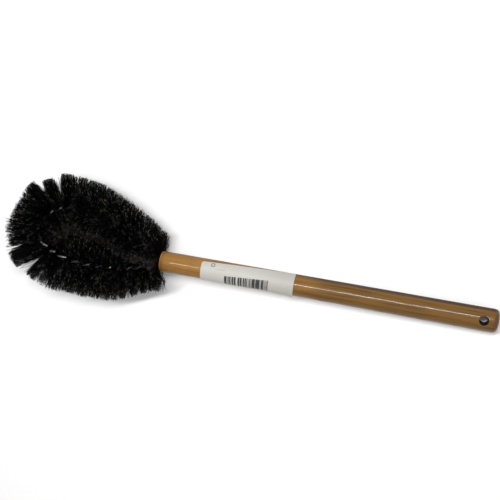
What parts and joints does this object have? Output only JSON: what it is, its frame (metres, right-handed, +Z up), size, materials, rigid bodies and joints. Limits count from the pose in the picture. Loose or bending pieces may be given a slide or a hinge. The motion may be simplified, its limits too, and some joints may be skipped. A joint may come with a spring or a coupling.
{
  "type": "bee brush",
  "caption": "Hand brush with a pear-shaped loop of twisted wire full of black bristle, set in a round wooden handle with a hang hole.",
  "frame": {"origin": "on the surface that the brush lies on, under the middle of its length and width", "axes": "+X runs from the bristle head to the handle's butt, +Z is up from the surface, and the wire loop lies flat, tipped 3 degrees about Y because the butt rests on the surface"},
  "size_m": [0.4116, 0.098, 0.0536],
  "materials": {
    "lacquered_wood": "gloss",
    "glue": "satin",
    "paper_label": "satin",
    "core_wire": "satin",
    "black_bristle": "satin"
  },
  "bodies": {
    "root": {"handle": "lacquered_wood", "glue_plug": "glue", "label": "paper_label", "core_wire_a": "core_wire", "core_wire_b": "core_wire", "bristle_fan_01": "black_bristle", "bristle_fan_02": "black_bristle", "bristle_fan_03": "black_bristle", "bristle_fan_04": "black_bristle", "bristle_fan_05": "black_bristle", "bristle_fan_06": "black_bristle", "bristle_fan_07": "black_bristle", "bristle_fan_08": "black_bristle", "bristle_fan_09": "black_bristle", "bristle_fan_10": "black_bristle", "bristle_fan_11": "black_bristle", "bristle_fan_12": "black_bristle", "bristle_fan_13": "black_bristle", "bristle_fan_14": "black_bristle", "bristle_fan_15": "black_bristle", "bristle_fan_16": "black_bristle", "bristle_fan_17": "black_bristle", "bristle_fan_18": "black_bristle", "bristle_fan_19": "black_bristle", "bristle_fan_20": "black_bristle", "bristle_fan_21": "black_bristle", "bristle_fan_22": "black_bristle", "bristle_fan_23": "black_bristle", "bristle_fan_24": "black_bristle", "bristle_fan_25": "black_bristle", "bristle_fan_26": "black_bristle", "bristle_fan_27": "black_bristle", "bristle_fan_28": "black_bristle", "bristle_fan_29": "black_bristle", "bristle_fan_30": "black_bristle", "bristle_fan_31": "black_bristle"}
  },
  "joints": []
}
